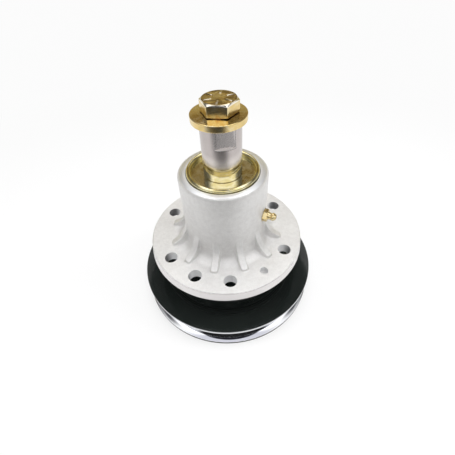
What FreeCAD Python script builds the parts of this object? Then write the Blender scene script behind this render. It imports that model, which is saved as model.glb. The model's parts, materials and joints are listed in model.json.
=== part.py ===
import FreeCAD, Part
import math
import os

from FreeCAD import Placement, Rotation, Vector

# A mower deck spindle, standing on its belt pulley with the blade end up.
# The origin is the middle of the circle that the pulley's lower rim stands on, +Z runs up the shaft,
# and all sizes are millimetres and degrees.

# Belt pulley
pulley_od = 165.1
pulley_rim_height = 22.8
pulley_lip = 2.6
pulley_foot_width = 3.0
groove_depth = 16.0
groove_half_angle = 17.0
groove_root_radius = 1.0
drum_od = 120.0
drum_wall = 5.0
drum_height = 37.0
drum_web = 6.0
drum_edge_radius = 4.0
drum_root_radius = 3.0
pulley_hub_od = 50.0
pulley_hub_length = 21.0
pulley_hub_rise = 6.0
pulley_hub_radius = 2.0
rim_edge_radius = 0.35

# Key, washer and nut that hold the pulley
key_width = 6.35
key_height = 6.35
key_length = 17.0
key_shaft_depth = 3.4
pulley_thread_d = 19.05
pulley_washer_od = 38.0
pulley_washer_thickness = 3.2
pulley_nut_af = 28.6
pulley_nut_height = 14.5
shaft_tail = 2.0

# Ball bearings, the same at both ends
bearing_bore = 25.0
bearing_od = 52.0
bearing_width = 15.0
bearing_pitch_d = 38.5
ball_d = 7.94
ball_count = 9
race_land_inner_d = 34.3
race_land_outer_d = 42.7
race_conformity = 1.04
ring_edge_radius = 0.8
seal_recess_d = 46.2
seal_thickness = 1.3
seal_inset = 0.3
cage_inner_d = 35.4
cage_outer_d = 41.6
cage_base = 2.0
cage_prong = 2.0

# Spacers on the shaft
bearing_span = 45.8
bearing_spacer_od = 32.0
pulley_spacer_od = 33.0
pulley_spacer_length = 7.5

# Dished shields over the bearing mouths, the same at both ends
shield_sheet = 1.2
shield_land_d = 33.0
shield_dish_rise = 0.2
shield_dish_d = 46.0
shield_wall_d = 50.2
shield_od = 57.4
shield_bead_height = 5.0
shield_lip_end = 0.9
shield_bead_radius = 1.7

# Cast housing
flange_od = 139.7
flange_thickness = 9.5
flange_draft = 7.0
flange_edge_radius = 1.1
hub_od = 71.4
hub_edge_radius = 2.2
hub_root_radius = 10.0
pilot_od = 76.2
pilot_height = 3.3
mouth_depth = 2.3
cavity_d = 46.0
cast_edge_radius = 0.8

# Gussets round the hub
gusset_count = 12
gusset_first_angle = 15.0
gusset_width = 6.0
gusset_rise = 22.0
gusset_reach = 50.5
gusset_nose_height = 2.6
gusset_arc_radius = 24.0
gusset_edge_radius = 0.8
gusset_nose_radius = 2.0
gusset_root_radius = 1.3

# Holes in the flange
bolt_circle_d = 114.3
bolt_hole_d = 11.11
bolt_hole_angles = [30.0 + 60.0 * i for i in range(6)]
pair_hole_d = 11.51
pair_hole_angles = [60.0, 240.0]
core_hole_d = 7.0
core_hole_depth = 5.5
core_hole_angle = 300.0

# Grease fitting in the side of the hub
fitting_angle = -26.3
fitting_height = 94.1
fitting_thread_d = 8.0
fitting_thread_length = 7.0
fitting_hex_af = 9.5
fitting_hex_height = 4.0
fitting_neck_d = 5.6
fitting_head_d = 6.8
fitting_head_height = 4.2
fitting_tip_d = 4.2
fitting_length = 10.8
fitting_bore_d = 3.5
fitting_mouth_d = 2.5
fitting_lip = 1.6
fitting_feed_d = 2.2
fitting_floor = 2.0
fitting_spot_d = 12.6
fitting_spot_depth = 0.7
check_ball_d = 3.1
valve_wire = 0.45
valve_spring_d = 2.9
valve_pitch = 1.2

# Shaft
shaft_d = 30.0
shaft_reach = 42.7
shaft_chamfer = 0.8
shoulder_chamfer = 0.45
shaft_flats_af = 25.6
shaft_flats_length = 15.4
shaft_angle = -80.3

# Blade bolt and its washer
blade_washer_od = 39.5
blade_washer_thickness = 4.76
blade_washer_land_d = 25.0
blade_washer_crown = 0.7
blade_washer_gap = 0.9
blade_washer_lean = 165.0
blade_washer_edge = 0.5
blade_bolt_d = 15.875
blade_bolt_length = 45.0
blade_bolt_af = 23.8
blade_bolt_head = 9.2
blade_bolt_face = 0.6
blade_bolt_angle = -11.0
blade_hole_extra = 6.0
grade_mark_width = 1.1
grade_mark_length = 4.2
grade_mark_height = 0.4
grade_mark_margin = 0.7

# Clearances
slip_gap = 0.05
bolt_gap = 0.4
ball_gap = 0.12
pocket_gap = 0.15
seal_gap = 0.15
shield_gap = 0.7
valve_gap = 0.03
through = 1.0

# Heights of the stack, from the pulley up the shaft
pulley_hub_top = drum_height + pulley_hub_rise
pulley_hub_bottom = pulley_hub_top - pulley_hub_length
nut_top = pulley_hub_bottom - pulley_washer_thickness
nut_bottom = nut_top - pulley_nut_height
shaft_bottom = nut_bottom - shaft_tail
pulley_shield_face = pulley_hub_top + pulley_spacer_length
pulley_bearing_bottom = pulley_shield_face + shield_sheet
pulley_bearing_top = pulley_bearing_bottom + bearing_width
blade_bearing_bottom = pulley_bearing_top + bearing_span
blade_bearing_top = blade_bearing_bottom + bearing_width
shoulder_height = blade_bearing_top + shield_sheet
shaft_top = shoulder_height + shaft_reach
blade_head_bottom = shaft_top + blade_washer_thickness + blade_washer_crown
housing_bottom = pulley_bearing_bottom - mouth_depth
housing_top = blade_bearing_top + mouth_depth
flange_bottom = housing_bottom + pilot_height
flange_top = flange_bottom + flange_thickness

# Radii that several pieces share
pulley_r = pulley_od / 2
hub_r = hub_od / 2
journal_r = bearing_bore / 2
bearing_r = bearing_od / 2
pitch_r = bearing_pitch_d / 2
ball_r = ball_d / 2
mouth_r = shield_od / 2 + shield_gap
axis = Vector(0, 0, 1)


# Outlines and turned solids

def rounded_face(corners):
    # Corners are (radius from the axis, height, optional fillet) in order round a closed outline
    points = [Vector(c[0], 0, c[1]) for c in corners]
    fillets = [c[2] if len(c) > 2 else 0.0 for c in corners]
    spans = []
    for i, corner in enumerate(points):
        if fillets[i] == 0.0:
            spans.append((corner, None, corner))
            continue
        back = (points[i - 1] - corner).normalize()
        ahead = (points[(i + 1) % len(points)] - corner).normalize()
        half = back.getAngle(ahead) / 2
        run = fillets[i] / math.tan(half)
        inward = (back + ahead).normalize()
        middle = corner + inward * (fillets[i] / math.sin(half) - fillets[i])
        spans.append((corner + back * run, middle, corner + ahead * run))
    edges = []
    for i, (start, middle, end) in enumerate(spans):
        if middle is not None:
            edges.append(Part.Arc(start, middle, end).toShape())
        following = spans[(i + 1) % len(spans)][0]
        if end.distanceToPoint(following) > 1e-6:
            edges.append(Part.makeLine(end, following))
    return Part.Face(Part.Wire(edges))


def turned(corners):
    return rounded_face(corners).revolve(Vector(), axis, 360)


def washer(outer_r, inner_r, bottom, height, edge=0.0):
    return turned([
        (inner_r, bottom),
        (outer_r, bottom, edge),
        (outer_r, bottom + height, edge),
        (inner_r, bottom + height),
    ])


def cylinder(radius, bottom, height, x=0.0, y=0.0):
    return Part.makeCylinder(radius, height, Vector(x, y, bottom))


def hex_prism(across_flats, bottom, height):
    corner_r = across_flats / math.sqrt(3)
    points = []
    for i in range(7):
        angle = math.radians(60 * i)
        points.append(Vector(corner_r * math.cos(angle), corner_r * math.sin(angle), bottom))
    return Part.Face(Part.makePolygon(points)).extrude(axis * height)


def chamfered_hex(across_flats, bottom, height, both_ends):
    # A hexagon whose corners are turned off at 30 degrees, as on a bolt head or a nut
    corner_r = across_flats / math.sqrt(3)
    flat_r = across_flats / 2 * 0.97
    drop = (corner_r + through - flat_r) * math.tan(math.radians(30))
    low_r = flat_r if both_ends else corner_r + through
    low_z = bottom + drop if both_ends else bottom
    top = bottom + height
    turning = turned([
        (0, bottom),
        (low_r, bottom),
        (corner_r + through, low_z + (0 if both_ends else through)),
        (corner_r + through, top - drop),
        (flat_r, top),
        (0, top),
    ])
    return hex_prism(across_flats, bottom, height).common(turning)


def turned_about_axis(shape, angle):
    copy = shape.copy()
    copy.rotate(Vector(), axis, angle)
    return copy


def ring_of(shape, angles):
    return [turned_about_axis(shape, angle) for angle in angles]


# Housing

def gusset():
    # The back is a concave arc from the hub wall down to a low rounded nose on the flange,
    # and above the arc it runs straight on into the wall
    start = Vector(hub_r, 0, flange_top + gusset_rise)
    end = Vector(gusset_reach, 0, flange_top + gusset_nose_height)
    chord = end - start
    half = chord.Length / 2
    outward = Vector(-chord.z, 0, chord.x).normalize()
    centre = start + chord * 0.5 + outward * math.sqrt(gusset_arc_radius ** 2 - half ** 2)
    middle = centre - outward * gusset_arc_radius
    spoke = (start - centre).normalize()
    lead = start + Vector(spoke.z, 0, -spoke.x) * gusset_rise / 2
    buried = (hub_r + bearing_r) / 2
    floor = flange_top - flange_thickness / 2
    corners = [
        end,
        Vector(gusset_reach, 0, floor),
        Vector(buried, 0, floor),
        Vector(buried, 0, lead.z),
        lead,
        start,
    ]
    edges = [Part.makeLine(a, b) for a, b in zip(corners, corners[1:])]
    edges.append(Part.Arc(start, middle, end).toShape())
    face = Part.Face(Part.Wire(edges))
    face.translate(Vector(0, -gusset_width / 2, 0))
    web = face.extrude(Vector(0, gusset_width, 0))
    nose = [
        edge for edge in web.Edges
        if edge.BoundBox.XMin > gusset_reach - 0.01 and edge.BoundBox.YLength < 0.01
    ]
    web = web.makeFillet(gusset_nose_radius, nose)
    back = [
        edge for edge in web.Edges
        if edge.BoundBox.ZMin > flange_top + gusset_nose_height / 2
        and edge.BoundBox.XMax > hub_r + 0.01
    ]
    return web.makeFillet(gusset_edge_radius, back)


def gusset_roots(body):
    # The lines where the gussets stand on the flange; the fillet on them runs on up the hub
    pitch = 360 / gusset_count
    found = []
    for edge in body.Edges:
        middle = edge.valueAt((edge.FirstParameter + edge.LastParameter) / 2)
        radius = math.hypot(middle.x, middle.y)
        angle = math.degrees(math.atan2(middle.y, middle.x)) - gusset_first_angle
        offset = (angle + pitch / 2) % pitch - pitch / 2
        across = abs(radius * math.sin(math.radians(offset)))
        beside = across < gusset_width / 2 + 0.1 and hub_r < radius < gusset_reach + 0.1
        if beside and abs(middle.z - flange_top) < 0.01:
            found.append(edge)
    return found


def housing_bore():
    return turned([
        (0, housing_bottom - through),
        (mouth_r, housing_bottom - through),
        (mouth_r, pulley_bearing_bottom),
        (bearing_r, pulley_bearing_bottom),
        (bearing_r, pulley_bearing_top),
        (cavity_d / 2, pulley_bearing_top),
        (cavity_d / 2, blade_bearing_bottom),
        (bearing_r, blade_bearing_bottom),
        (bearing_r, blade_bearing_top),
        (mouth_r, blade_bearing_top),
        (mouth_r, housing_top + through),
        (0, housing_top + through),
    ])


def flange_hole(diameter, depth, angle):
    reach = bolt_circle_d / 2
    x = reach * math.cos(math.radians(angle))
    y = reach * math.sin(math.radians(angle))
    return cylinder(diameter / 2, flange_top - depth, depth + through, x, y)


def spindle_housing():
    drop = flange_thickness * math.tan(math.radians(flange_draft))
    body = turned([
        (0, housing_bottom),
        (pilot_od / 2, housing_bottom, cast_edge_radius),
        (pilot_od / 2, flange_bottom),
        (flange_od / 2, flange_bottom, cast_edge_radius),
        (flange_od / 2 - drop, flange_top, flange_edge_radius),
        (hub_r, flange_top, hub_root_radius),
        (hub_r, housing_top, hub_edge_radius),
        (0, housing_top),
    ])
    angles = [gusset_first_angle + 360 / gusset_count * i for i in range(gusset_count)]
    body = body.multiFuse(ring_of(gusset(), angles)).removeSplitter()
    body = body.makeFillet(gusset_root_radius, gusset_roots(body))
    cuts = [housing_bore()]
    full_depth = flange_thickness + through
    cuts += [flange_hole(bolt_hole_d, full_depth, angle) for angle in bolt_hole_angles]
    cuts += [flange_hole(pair_hole_d, full_depth, angle) for angle in pair_hole_angles]
    cuts.append(flange_hole(core_hole_d, core_hole_depth, core_hole_angle))
    spot = cylinder(fitting_spot_d / 2, 0, fitting_spot_depth + through)
    thread = cylinder(fitting_thread_d / 2, -fitting_thread_length - through, fitting_thread_length + through)
    feed = cylinder(fitting_feed_d / 2, -hub_r, hub_r)
    cuts += [on_fitting_axis(shape) for shape in (spot, thread, feed)]
    return body.cut(cuts)


# Grease fitting, drawn upright and then laid on its radial axis

def on_fitting_axis(shape):
    seat_r = hub_r - fitting_spot_depth
    angle = math.radians(fitting_angle)
    outward = Vector(math.cos(angle), math.sin(angle), 0)
    laid = shape.copy()
    seat = Placement(outward * seat_r + axis * fitting_height, Rotation(axis, outward))
    laid.Placement = seat.multiply(laid.Placement)
    return laid


fitting_seat = fitting_length - fitting_lip
check_ball_height = fitting_seat - valve_gap - math.sqrt(
    (check_ball_d / 2) ** 2 - (fitting_mouth_d / 2) ** 2
)
valve_spring_top = check_ball_height - math.sqrt(
    (check_ball_d / 2) ** 2 - (valve_spring_d / 2 - valve_wire) ** 2
) - valve_gap


def grease_fitting():
    head_start = fitting_length - fitting_head_height
    outside = turned([
        (0, -fitting_thread_length),
        (fitting_thread_d / 2, -fitting_thread_length),
        (fitting_thread_d / 2, fitting_hex_height / 2),
        (fitting_head_d / 2, fitting_hex_height / 2),
        (fitting_head_d / 2, fitting_hex_height),
        (fitting_neck_d / 2, head_start - 0.8, 1.0),
        (fitting_neck_d / 2, head_start, 0.2),
        (fitting_head_d / 2, head_start + 1.0, 0.4),
        (fitting_head_d / 2, head_start + 2.0, 0.4),
        (fitting_tip_d / 2, fitting_length, 0.3),
        (0, fitting_length),
    ])
    inside = turned([
        (0, -fitting_thread_length - through),
        (fitting_feed_d / 2, -fitting_thread_length - through),
        (fitting_feed_d / 2, fitting_floor),
        (fitting_bore_d / 2, fitting_floor),
        (fitting_bore_d / 2, fitting_seat),
        (fitting_mouth_d / 2, fitting_seat),
        (fitting_mouth_d / 2, fitting_length + through),
        (0, fitting_length + through),
    ])
    nut = chamfered_hex(fitting_hex_af, 0, fitting_hex_height, True)
    return on_fitting_axis(outside.fuse(nut).cut(inside))


def grease_check_ball():
    return on_fitting_axis(Part.makeSphere(check_ball_d / 2, Vector(0, 0, check_ball_height)))


def grease_valve_spring():
    length = valve_spring_top - fitting_floor
    coil_r = valve_spring_d / 2 - valve_wire / 2
    path = Part.Wire(Part.makeHelix(valve_pitch, length - valve_wire, coil_r).Edges)
    half = valve_wire / 2
    section = Part.makePolygon([
        Vector(coil_r - half, 0, -half),
        Vector(coil_r + half, 0, -half),
        Vector(coil_r + half, 0, half),
        Vector(coil_r - half, 0, half),
        Vector(coil_r - half, 0, -half),
    ])
    coil = path.makePipeShell([section], True, True)
    coil.translate(Vector(0, 0, fitting_floor + half))
    return on_fitting_axis(coil)


# Bearings, drawn with the sealed face up and the middle of the width at height zero

def at_bearing(shape, blade_end):
    placed = shape.copy()
    if blade_end:
        placed.translate(axis * (blade_bearing_bottom + bearing_width / 2))
    else:
        placed.rotate(Vector(), Vector(1, 0, 0), 180)
        placed.translate(axis * (pulley_bearing_bottom + bearing_width / 2))
    return placed


def race_cutter(outward):
    groove_r = ball_r * race_conformity
    shift = (ball_gap + ball_r - groove_r) * outward
    return Part.makeTorus(pitch_r + shift, groove_r)


def inner_ring(blade_end):
    half = bearing_width / 2
    ring = turned([
        (journal_r, -half, ring_edge_radius),
        (race_land_inner_d / 2, -half),
        (race_land_inner_d / 2, half),
        (journal_r, half, ring_edge_radius),
    ])
    return at_bearing(ring.cut(race_cutter(-1)), blade_end)


def outer_ring(blade_end):
    half = bearing_width / 2
    recess = seal_thickness + seal_inset
    ring = turned([
        (race_land_outer_d / 2, -half),
        (bearing_r, -half, ring_edge_radius),
        (bearing_r, half, ring_edge_radius),
        (seal_recess_d / 2, half),
        (seal_recess_d / 2, half - recess),
        (race_land_outer_d / 2, half - recess),
    ])
    return at_bearing(ring.cut(race_cutter(1)), blade_end)


def ball_angles():
    return [360 / ball_count * i for i in range(ball_count)]


def balls(blade_end):
    ball = Part.makeSphere(ball_r, Vector(pitch_r, 0, 0))
    return at_bearing(Part.makeCompound(ring_of(ball, ball_angles())), blade_end)


def cage(blade_end):
    # A crown cage: a solid rim on the open side, and prongs that close a little round each ball
    pocket_r = ball_r + pocket_gap
    rim = washer(cage_outer_d / 2, cage_inner_d / 2, -pocket_r - cage_base, pocket_r + cage_base + cage_prong)
    pocket = Part.makeSphere(pocket_r, Vector(pitch_r, 0, 0))
    return at_bearing(rim.cut(ring_of(pocket, ball_angles())), blade_end)


def seal(blade_end):
    bottom = bearing_width / 2 - seal_inset - seal_thickness
    disc = washer(seal_recess_d / 2, race_land_inner_d / 2 + seal_gap, bottom, seal_thickness)
    return at_bearing(disc, blade_end)


# Shields, drawn with the face that lies on the bearing at height zero

def shield(blade_end):
    wall_r = shield_wall_d / 2
    skirt_r = shield_od / 2
    floor = shield_dish_rise + shield_sheet
    under = shield_bead_height - shield_sheet
    bend = shield_sheet / 3
    sheet = turned([
        (journal_r + slip_gap, 0),
        (shield_land_d / 2, 0),
        (shield_dish_d / 2, shield_dish_rise),
        (wall_r + shield_sheet, shield_dish_rise, bend + shield_sheet / 2),
        (wall_r + shield_sheet, under, bend),
        (skirt_r - shield_sheet, under, bend),
        (skirt_r - shield_sheet, shield_lip_end),
        (skirt_r, shield_lip_end),
        (skirt_r, shield_bead_height, shield_bead_radius),
        (wall_r, shield_bead_height, shield_bead_radius),
        (wall_r, floor, bend),
        (shield_dish_d / 2, floor),
        (shield_land_d / 2, shield_sheet),
        (journal_r + slip_gap, shield_sheet),
    ])
    if blade_end:
        sheet.translate(axis * blade_bearing_top)
    else:
        sheet.rotate(Vector(), Vector(1, 0, 0), 180)
        sheet.translate(axis * pulley_bearing_bottom)
    return sheet


# Shaft and what is threaded on it

def key_block(width, depth_below, height_above, extra):
    bottom = pulley_hub_top - (pulley_hub_length + key_length) / 2 - extra
    block = Part.makeBox(
        depth_below + height_above,
        width,
        key_length + 2 * extra,
        Vector(journal_r - depth_below, -width / 2, bottom),
    )
    return turned_about_axis(block, shaft_angle)


def spindle_shaft():
    thread_r = pulley_thread_d / 2
    journal_start = pulley_hub_bottom + shaft_chamfer
    body = turned([
        (0, shaft_bottom),
        (thread_r - shaft_chamfer, shaft_bottom),
        (thread_r, shaft_bottom + shaft_chamfer),
        (thread_r, journal_start),
        (journal_r - shaft_chamfer, journal_start),
        (journal_r, journal_start + shaft_chamfer),
        (journal_r, shoulder_height),
        (shaft_d / 2 - shoulder_chamfer, shoulder_height),
        (shaft_d / 2, shoulder_height + shoulder_chamfer),
        (shaft_d / 2, shaft_top - shaft_chamfer),
        (shaft_d / 2 - shaft_chamfer, shaft_top),
        (0, shaft_top),
    ])
    depth = blade_bolt_length - blade_washer_thickness + blade_hole_extra
    cuts = [cylinder(blade_bolt_d / 2 + slip_gap, shaft_top - depth, depth + through)]
    flat = Part.makeBox(
        shaft_d,
        2 * shaft_d,
        shaft_flats_length + through,
        Vector(shaft_flats_af / 2, -shaft_d, shaft_top - shaft_flats_length),
    )
    cuts += ring_of(flat, [shaft_angle, shaft_angle + 180])
    cuts.append(key_block(key_width, key_shaft_depth, through, 0.0))
    centre_r = thread_r / 4
    cuts.append(Part.makeCone(centre_r, 0, centre_r * 1.6, Vector(0, 0, shaft_bottom)))
    return body.cut(cuts)


def pulley_key():
    return key_block(key_width, key_shaft_depth, key_height - key_shaft_depth, 0.0)


def pulley_washer():
    inner = pulley_thread_d / 2 + bolt_gap
    return washer(pulley_washer_od / 2, inner, nut_top, pulley_washer_thickness, blade_washer_edge)


def pulley_nut():
    body = chamfered_hex(pulley_nut_af, nut_bottom, pulley_nut_height, True)
    hole = cylinder(pulley_thread_d / 2, nut_bottom - through, pulley_nut_height + 2 * through)
    return body.cut(hole)


def bearing_spacer():
    return washer(bearing_spacer_od / 2, journal_r + slip_gap, pulley_bearing_top, bearing_span)


def pulley_spacer():
    return washer(pulley_spacer_od / 2, journal_r + slip_gap, pulley_hub_top, pulley_spacer_length)


# Pulley: a V rim with conical sides on a drum that is open below

def pulley():
    slope = math.tan(math.radians(groove_half_angle))
    drum_r = drum_od / 2
    drum_in = drum_r - drum_wall
    root_r = pulley_r - groove_depth
    fall = groove_depth * slope
    foot_r = pulley_r - pulley_foot_width
    pulley_body = turned([
        (foot_r, 0),
        (pulley_r, 0, rim_edge_radius),
        (pulley_r, pulley_lip, rim_edge_radius),
        (root_r, pulley_lip + fall, groove_root_radius),
        (root_r, pulley_rim_height - pulley_lip - fall, groove_root_radius),
        (pulley_r, pulley_rim_height - pulley_lip, rim_edge_radius),
        (pulley_r, pulley_rim_height, rim_edge_radius),
        (drum_r, pulley_rim_height - (pulley_r - drum_r) * slope, drum_root_radius),
        (drum_r, drum_height, drum_edge_radius),
        (pulley_hub_od / 2, drum_height, pulley_hub_radius),
        (pulley_hub_od / 2, pulley_hub_top, rim_edge_radius),
        (journal_r, pulley_hub_top),
        (journal_r, pulley_hub_bottom),
        (pulley_hub_od / 2, pulley_hub_bottom, rim_edge_radius),
        (pulley_hub_od / 2, drum_height - drum_web, pulley_hub_radius),
        (drum_in, drum_height - drum_web, drum_root_radius),
        (drum_in, (foot_r - drum_in) * slope, drum_edge_radius),
    ])
    slot = Part.makeBox(
        key_height - key_shaft_depth + slip_gap + through,
        key_width,
        pulley_hub_length + 2 * through,
        Vector(journal_r - through, -key_width / 2, pulley_hub_bottom - through),
    )
    return pulley_body.cut(turned_about_axis(slot, shaft_angle))


# Blade bolt

def blade_washer():
    # Its upper face falls away a little round the head, and it hangs to one side of the bolt by its clearance
    inner = blade_bolt_d / 2 + blade_washer_gap
    rim_top = shaft_top + blade_washer_thickness
    plate = turned([
        (inner, shaft_top),
        (blade_washer_od / 2, shaft_top, blade_washer_edge),
        (blade_washer_od / 2, rim_top, blade_washer_edge),
        (blade_washer_land_d / 2, blade_head_bottom),
        (inner, blade_head_bottom),
    ])
    plate.translate(Vector(blade_washer_gap - slip_gap, 0, 0))
    return turned_about_axis(plate, blade_washer_lean)


def blade_bolt():
    hex_bottom = blade_head_bottom + blade_bolt_face
    top = blade_head_bottom + blade_bolt_head
    head = chamfered_hex(blade_bolt_af, hex_bottom, blade_bolt_head - blade_bolt_face, False)
    face = cylinder(blade_bolt_af / 2 - blade_bolt_face, blade_head_bottom, blade_bolt_face)
    shank_bottom = blade_head_bottom - blade_bolt_length
    shank = turned([
        (0, shank_bottom),
        (blade_bolt_d / 2 - shaft_chamfer, shank_bottom),
        (blade_bolt_d / 2, shank_bottom + shaft_chamfer),
        (blade_bolt_d / 2, blade_head_bottom),
        (0, blade_head_bottom),
    ])
    mark_end = blade_bolt_af / 2 * 0.97 - grade_mark_margin
    mark = Part.makeBox(
        grade_mark_length,
        grade_mark_width,
        2 * grade_mark_height,
        Vector(mark_end - grade_mark_length, -grade_mark_width / 2, top - grade_mark_height),
    )
    marks = ring_of(mark, [30 + 60 * i for i in range(6)])
    bolt = head.multiFuse([face, shank] + marks)
    return turned_about_axis(bolt, blade_bolt_angle)


def pieces():
    named = {
        "spindle_housing": spindle_housing(),
        "grease_fitting": grease_fitting(),
        "grease_check_ball": grease_check_ball(),
        "grease_valve_spring": grease_valve_spring(),
        "bearing_spacer": bearing_spacer(),
        "spindle_shaft": spindle_shaft(),
        "pulley_spacer": pulley_spacer(),
        "pulley": pulley(),
        "pulley_key": pulley_key(),
        "pulley_washer": pulley_washer(),
        "pulley_nut": pulley_nut(),
        "blade_washer": blade_washer(),
        "blade_bolt": blade_bolt(),
    }
    for end, blade_end in (("blade_end", True), ("pulley_end", False)):
        named[end + "_outer_ring"] = outer_ring(blade_end)
        named[end + "_inner_ring"] = inner_ring(blade_end)
        named[end + "_balls"] = balls(blade_end)
        named[end + "_cage"] = cage(blade_end)
        named[end + "_seal"] = seal(blade_end)
        named[end + "_shield"] = shield(blade_end)
    return named


os.makedirs("parts", exist_ok=True)
for name, shape in pieces().items():
    shape.exportStep("parts/" + name + ".step")
    print(name, len(shape.Solids), "solid,", round(shape.Volume, 1), "mm3, valid", shape.isValid())
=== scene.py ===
import json
import math

import bmesh
import bpy
from mathutils import Matrix, Vector


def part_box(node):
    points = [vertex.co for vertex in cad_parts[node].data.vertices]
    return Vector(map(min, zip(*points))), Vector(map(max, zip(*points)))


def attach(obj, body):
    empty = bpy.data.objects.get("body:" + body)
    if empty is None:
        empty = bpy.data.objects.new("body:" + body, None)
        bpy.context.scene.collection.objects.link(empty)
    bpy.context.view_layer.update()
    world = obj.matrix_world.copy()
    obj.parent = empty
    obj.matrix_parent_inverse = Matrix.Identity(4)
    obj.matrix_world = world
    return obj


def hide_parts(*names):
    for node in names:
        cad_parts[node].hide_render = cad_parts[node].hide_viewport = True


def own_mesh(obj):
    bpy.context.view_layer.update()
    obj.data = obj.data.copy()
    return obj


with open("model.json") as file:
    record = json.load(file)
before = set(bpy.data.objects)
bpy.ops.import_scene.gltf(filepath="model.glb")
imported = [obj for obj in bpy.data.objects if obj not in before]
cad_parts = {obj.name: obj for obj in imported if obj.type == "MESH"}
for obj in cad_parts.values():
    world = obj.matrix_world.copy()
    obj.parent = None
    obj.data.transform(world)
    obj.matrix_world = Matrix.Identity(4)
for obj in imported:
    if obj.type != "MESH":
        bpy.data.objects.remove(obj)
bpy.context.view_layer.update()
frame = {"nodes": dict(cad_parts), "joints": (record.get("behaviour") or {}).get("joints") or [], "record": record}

nodes = frame["nodes"]
mm = 0.001
print("frame loaded:", len(nodes), "nodes")


# Shader wiring

class Strand:
    def __init__(self, tree, socket):
        self.tree = tree
        self.socket = socket

    def node(self, kind, settings=None, sockets=None, output=0):
        made = self.tree.nodes.new("ShaderNode" + kind)
        for key, value in (settings or {}).items():
            if key == "stops":
                setStops(made.color_ramp, value)
            else:
                setattr(made, key, value)
        for key, value in (sockets or {}).items():
            if isinstance(value, Strand):
                self.tree.links.new(value.socket, made.inputs[key])
            else:
                made.inputs[key].default_value = value
        return Strand(self.tree, made.outputs[output]) if made.outputs else None

    def maths(self, operation, first, second=0.0):
        return self.node("Math", {"operation": operation}, {0: first, 1: second})

    def __add__(self, other):
        return self.maths("ADD", self, other)

    def __radd__(self, other):
        return self.maths("ADD", other, self)

    def __sub__(self, other):
        return self.maths("SUBTRACT", self, other)

    def __rsub__(self, other):
        return self.maths("SUBTRACT", other, self)

    def __mul__(self, other):
        return self.maths("MULTIPLY", self, other)

    def __rmul__(self, other):
        return self.maths("MULTIPLY", other, self)

    def __truediv__(self, other):
        return self.maths("DIVIDE", self, other)

    def __pow__(self, other):
        return self.maths("POWER", self, other)

    def __abs__(self):
        return self.maths("ABSOLUTE", self)

    def __or__(self, other):
        return self.maths("MAXIMUM", self, other)  # either of two masks


def setStops(ramp, stops):
    while len(ramp.elements) < len(stops):
        ramp.elements.new(1.0)
    for element, (place, colour) in zip(ramp.elements, stops):
        element.position = place
        element.color = (*colour, 1.0)


def startFinish(name):
    material = bpy.data.materials.new(name)
    material.use_nodes = True
    material.node_tree.nodes.clear()
    tree = material.node_tree
    spot = Strand(tree, None).node("TexCoord", output="Object")
    spot = spot.node("VectorMath", {"operation": "SCALE"}, {0: spot, "Scale": 1000.0})  # millimetres
    return material, spot


def split(spot):
    parts = spot.node("SeparateXYZ", None, {0: spot})
    return [Strand(spot.tree, parts.socket.node.outputs[i]) for i in range(3)]


def fromAxis(x, y):
    return (x * x + y * y) ** 0.5


def join(x, y, z):
    maker = next(part for part in (x, y, z) if isinstance(part, Strand))
    return maker.node("CombineXYZ", None, {0: x, 1: y, 2: z})


def noise(spot, scale, detail=2.0, rough=0.5, distortion=0.0):
    return spot.node(
        "TexNoise",
        None,
        {"Vector": spot, "Scale": scale, "Detail": detail, "Roughness": rough, "Distortion": distortion},
    )


def rise(value, low, high):
    return value.node(
        "MapRange",
        {"interpolation_type": "SMOOTHSTEP"},
        {"Value": value, "From Min": low, "From Max": high},
    )


def between(value, low, high, soft):
    return rise(value, low - soft, low + soft) * (1 - rise(value, high - soft, high + soft))


def tint(factor, first, second):
    full = [(*c, 1.0) if isinstance(c, tuple) else c for c in (first, second)]
    return factor.node("Mix", {"data_type": "RGBA"}, {0: factor, 6: full[0], 7: full[1]}, 2)


def ramp(factor, stops):
    return factor.node("ValToRGB", {"stops": stops}, {0: factor})


def bump(height, distance, strength=1.0, over=None):
    sockets = {"Height": height, "Distance": distance * mm, "Strength": strength}
    if over:
        sockets["Normal"] = over
    return height.node("Bump", None, sockets)


def crowned(radius, first, last, bend):
    step = radius.maths("MINIMUM", radius.maths("MAXIMUM", radius, first), last) - first
    return step * step * (-bend / 2)  # height in mm of a face that curves away from its first radius


def surface(spot, sockets):
    shader = spot.node("BsdfPrincipled", None, sockets)
    spot.node("OutputMaterial", None, {"Surface": shader})


# Finishes

castLook = {
    "pale": (0.83, 0.825, 0.815),
    "grey": (0.70, 0.69, 0.68),
    "stain": (0.50, 0.485, 0.45),
    "cut": (0.88, 0.89, 0.91),
    # the hole walls are painted pale on the hub's side and dark on the outer side: painted light and painted shade
    "drilled": (0.95, 0.95, 0.955),
    "holeShade": (0.26, 0.26, 0.265),
    "turned": (0.79, 0.765, 0.76),
    "metal": 0.66,
    "topMetal": 0.14,
    "holeMetalDrop": 0.60,
    "holeShadeMetal": 0.2,
    "skinRough": 0.40,
    "cutRough": 0.14,
    "boreRough": 0.30,
    "scales": {"cloud": 0.045, "patch": 0.30, "grain": 1.5, "pits": 0.8},
    "boltCircle": 57.15,
    "holeShadeBand": (54.15, 61.15),
    "flangeTop": 62.2,
    "flangeRadius": 69.85,
    "flangeDraft": 0.1228,
    "holes": ((5.555, 30.0, 60.0), (5.755, 60.0, 180.0), (3.5, 300.0, 360.0)),
    "topFace": 129.8,
    "crown": {"first": 29.6, "last": 35.5, "bend": 0.085},
    "deckFace": 52.7,
    "boreRadius": 29.5,
    "fittingAngle": -26.3,
    "spotFace": 35.0,
    "spotRadius": 6.25,
    "spotHeight": 94.1,
}


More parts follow.
